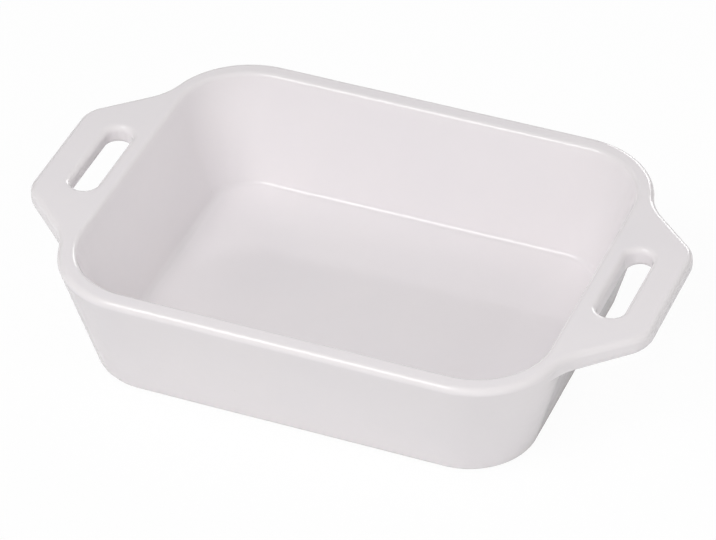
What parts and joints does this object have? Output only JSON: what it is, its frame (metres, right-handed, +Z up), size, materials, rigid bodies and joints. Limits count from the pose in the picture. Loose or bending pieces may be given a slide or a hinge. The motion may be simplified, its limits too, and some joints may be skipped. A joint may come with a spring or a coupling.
{
  "type": "roasting dish",
  "caption": "Rectangular glazed stoneware roasting dish with leaning walls, rounded rim and corners, and a slotted plate handle level with the rim at each end.",
  "frame": {"origin": "on the surface that the dish stands on, under the middle of the dish", "axes": "+X along the dish from handle to handle, +Y across it, +Z up"},
  "size_m": [0.2482, 0.162, 0.0491],
  "materials": {
    "stoneware": "matte",
    "white_glaze": "gloss"
  },
  "bodies": {
    "root": {"basin": "stoneware", "left_handle": "stoneware", "right_handle": "stoneware", "basin_glaze": "white_glaze", "left_handle_glaze": "white_glaze", "right_handle_glaze": "white_glaze", "base_glaze": "white_glaze"}
  },
  "joints": []
}
